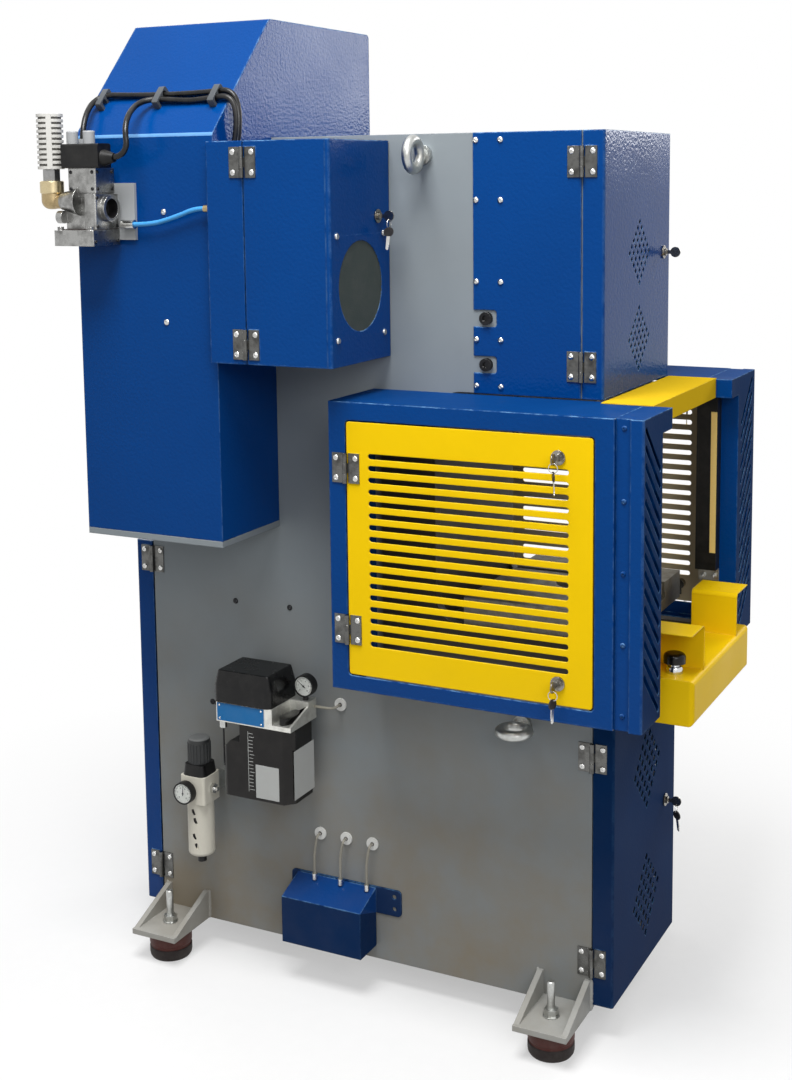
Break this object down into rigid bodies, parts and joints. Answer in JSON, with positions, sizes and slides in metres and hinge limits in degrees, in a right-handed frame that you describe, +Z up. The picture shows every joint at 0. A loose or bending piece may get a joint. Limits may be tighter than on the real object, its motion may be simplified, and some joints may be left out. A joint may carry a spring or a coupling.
{
  "type": "eccentric press",
  "caption": "Free-standing C-frame eccentric press with belt-driven flywheel, guarded tool space, two-hand console, air valve and central lubrication.",
  "frame": {"origin": "bottom centre of the whole press, on the floor", "axes": "+Z up, front with the console towards -Y, motor side towards -X"},
  "size_m": [0.967, 1.356, 2.096],
  "materials": {
    "frame_grey": "satin light grey paint",
    "machine_blue": "glossy structured blue paint",
    "guard_yellow": "glossy yellow paint",
    "bright_steel": "bright rolled steel",
    "chrome_lock": "polished",
    "machined_steel": "ground and oiled",
    "cast_wheel": "dark primed casting",
    "bronze": "turned bronze",
    "brass": "turned brass",
    "valve_aluminium": "milled and blasted",
    "black_plastic": "moulded black plastic",
    "dark_grey_plastic": "moulded dark grey plastic",
    "cream_plastic": "cream enamel",
    "tank_plastic": "dark translucent plastic",
    "white_plastic": "white discs and clear tube",
    "blue_hose": "blue air hose",
    "red_rubber": "dark red rubber",
    "belt_rubber": "black belt",
    "motor_paint": "dark motor paint"
  },
  "bodies": {
    "frame": {"side_plate_left": "frame_grey", "side_plate_right": "frame_grey", "cross_plates": "frame_grey", "shaft_bushes": "bronze", "bolster": "machined_steel", "ram_guides": "machined_steel", "foot_brackets": "frame_grey", "foot_studs": "bright_steel", "rubber_feet": "red_rubber", "lifting_eyes": "bright_steel", "drive_belt": "belt_rubber", "motor_body": "motor_paint", "rear_cover": "machine_blue", "cover_base": "frame_grey", "motor_box": "machine_blue", "head_panels": "machine_blue", "side_guards": "machine_blue", "front_guards": "machine_blue", "guard_bridge": "guard_yellow", "light_curtains": "black_plastic", "console": "guard_yellow", "valve_block": "valve_aluminium", "solenoid_plugs": "black_plastic", "solenoid_cables": "black_plastic", "silencer": "valve_aluminium", "brass_fittings": "brass", "air_hose": "blue_hose", "regulator": "cream_plastic", "gauges": "black_plastic", "pump_reservoir": "tank_plastic", "pump_head": "valve_aluminium", "pump_lid": "black_plastic", "manifold_box": "machine_blue", "lube_tubes": "white_plastic", "control_gear": "dark_grey_plastic", "panel_screws": "bright_steel", "hinge_leaves": "bright_steel"},
    "crank": {"eccentric_shaft": "machined_steel", "clutch_brake": "cast_wheel"},
    "flywheel": {"flywheel": "cast_wheel"},
    "motor_rotor": {"motor_rotor": "machined_steel"},
    "connecting_rod": {"connecting_rod": "machined_steel"},
    "ram": {"ram": "machined_steel"},
    "motor_box_door": {"motor_box_door": "machine_blue"},
    "head_door": {"head_door": "machine_blue"},
    "lower_front_door": {"lower_front_door": "machine_blue"},
    "rear_lower_door": {"rear_lower_door": "machine_blue"},
    "grille_left": {"grille_left": "guard_yellow"},
    "grille_right": {"grille_right": "guard_yellow"},
    "palm_button_left": {"palm_button_left": "black_plastic"},
    "palm_button_right": {"palm_button_right": "black_plastic"},
    "regulator_knob": {"regulator_knob": "dark_grey_plastic"},
    "lock_motor_box": {"lock_motor_box": "chrome_lock"},
    "lock_head_door": {"lock_head_door": "chrome_lock"},
    "lock_front_door": {"lock_front_door": "chrome_lock"},
    "lock_rear_door": {"lock_rear_door": "chrome_lock"},
    "lock_grille_left_bottom": {"lock_grille_left_bottom": "chrome_lock"},
    "lock_grille_left_top": {"lock_grille_left_top": "chrome_lock"},
    "lock_grille_right_bottom": {"lock_grille_right_bottom": "chrome_lock"},
    "lock_grille_right_top": {"lock_grille_right_top": "chrome_lock"}
  },
  "joints": [
    {"name": "crank_turn", "type": "hinge", "parent": "frame", "child": "crank", "pos_m": [0.0445, -0.353, 1.64], "axis": [0, 1, 0], "range_deg": [0, 180]},
    {"name": "rod_swing", "type": "hinge", "parent": "crank", "child": "connecting_rod", "pos_m": [0.0445, -0.353, 1.67], "axis": [0, 1, 0], "range_deg": [-180, 0]},
    {"name": "ram_slide", "type": "slide", "parent": "frame", "child": "ram", "axis": [0, 0, -1], "range_m": [0, 0.06]},
    {"name": "flywheel_turn", "type": "hinge", "parent": "frame", "child": "flywheel", "pos_m": [0.0445, 0.387, 1.64], "axis": [0, 1, 0], "continuous": true},
    {"name": "motor_turn", "type": "hinge", "parent": "frame", "child": "motor_rotor", "pos_m": [-0.2915, 0.387, 1.551], "axis": [0, 1, 0], "continuous": true},
    {"name": "head_door_hinge", "type": "hinge", "parent": "frame", "child": "head_door", "pos_m": [-0.1719, -0.443, 1.5915], "axis": [0, 0, -1], "range_deg": [0, 105]},
    {"name": "lower_front_door_hinge", "type": "hinge", "parent": "frame", "child": "lower_front_door", "pos_m": [-0.1689, -0.469, 0.3865], "axis": [0, 0, -1], "range_deg": [0, 95]},
    {"name": "rear_lower_door_hinge", "type": "hinge", "parent": "frame", "child": "rear_lower_door", "pos_m": [-0.1689, 0.595, 0.538], "axis": [0, 0, 1], "range_deg": [0, 105]},
    {"name": "motor_box_door_hinge", "type": "hinge", "parent": "frame", "child": "motor_box_door", "pos_m": [-0.4179, 0.169, 1.617], "axis": [0, 0, -1], "range_deg": [0, 95]},
    {"name": "grille_left_hinge", "type": "hinge", "parent": "frame", "child": "grille_left", "pos_m": [-0.3619, -0.0205, 1.031], "axis": [0, 0, -1], "range_deg": [0, 105]},
    {"name": "grille_right_hinge", "type": "hinge", "parent": "frame", "child": "grille_right", "pos_m": [0.4509, -0.0205, 1.031], "axis": [0, 0, 1], "range_deg": [0, 105]},
    {"name": "lock_motor_box_turn", "type": "hinge", "parent": "motor_box_door", "child": "lock_motor_box", "pos_m": [-0.2195, -0.025, 1.687], "axis": [0, -1, 0], "range_deg": [0, 90]},
    {"name": "lock_head_door_turn", "type": "hinge", "parent": "head_door", "child": "lock_head_door", "pos_m": [0.2095, -0.488, 1.6], "axis": [0, -1, 0], "range_deg": [0, 90]},
    {"name": "lock_front_door_turn", "type": "hinge", "parent": "lower_front_door", "child": "lock_front_door", "pos_m": [0.1785, -0.514, 0.396], "axis": [0, -1, 0], "range_deg": [0, 90]},
    {"name": "lock_rear_door_turn", "type": "hinge", "parent": "rear_lower_door", "child": "lock_rear_door", "pos_m": [0.1925, 0.64, 0.513], "axis": [0, 1, 0], "range_deg": [0, 90]},
    {"name": "lock_grille_left_bottom_turn", "type": "hinge", "parent": "grille_left", "child": "lock_grille_left_bottom", "pos_m": [-0.3565, -0.468, 0.817], "axis": [-1, 0, 0], "range_deg": [0, 90]},
    {"name": "lock_grille_right_bottom_turn", "type": "hinge", "parent": "grille_right", "child": "lock_grille_right_bottom", "pos_m": [0.4455, -0.468, 0.817], "axis": [1, 0, 0], "range_deg": [0, 90]},
    {"name": "lock_grille_left_top_turn", "type": "hinge", "parent": "grille_left", "child": "lock_grille_left_top", "pos_m": [-0.3565, -0.468, 1.248], "axis": [-1, 0, 0], "range_deg": [0, 90]},
    {"name": "lock_grille_right_top_turn", "type": "hinge", "parent": "grille_right", "child": "lock_grille_right_top", "pos_m": [0.4455, -0.468, 1.248], "axis": [1, 0, 0], "range_deg": [0, 90]},
    {"name": "palm_button_left_press", "type": "slide", "parent": "frame", "child": "palm_button_left", "axis": [0, 0, -1], "range_m": [0, 0.006], "stiffness_N_per_m": 900, "springref_m": -0.004},
    {"name": "palm_button_right_press", "type": "slide", "parent": "frame", "child": "palm_button_right", "axis": [0, 0, -1], "range_m": [0, 0.006], "stiffness_N_per_m": 900, "springref_m": -0.004},
    {"name": "regulator_knob_turn", "type": "hinge", "parent": "frame", "child": "regulator_knob", "pos_m": [-0.2305, 0.436, 0.462], "axis": [0, 0, 1], "range_deg": [-180, 180]}
  ],
  "couplings": [
    {"joint": "rod_swing", "follows": "crank_turn", "ratio": -1},
    {"joint": "ram_slide", "follows": "crank_turn", "m_per_rad": 0.019099},
    {"joint": "motor_turn", "follows": "flywheel_turn", "ratio": 3.7273}
  ]
}
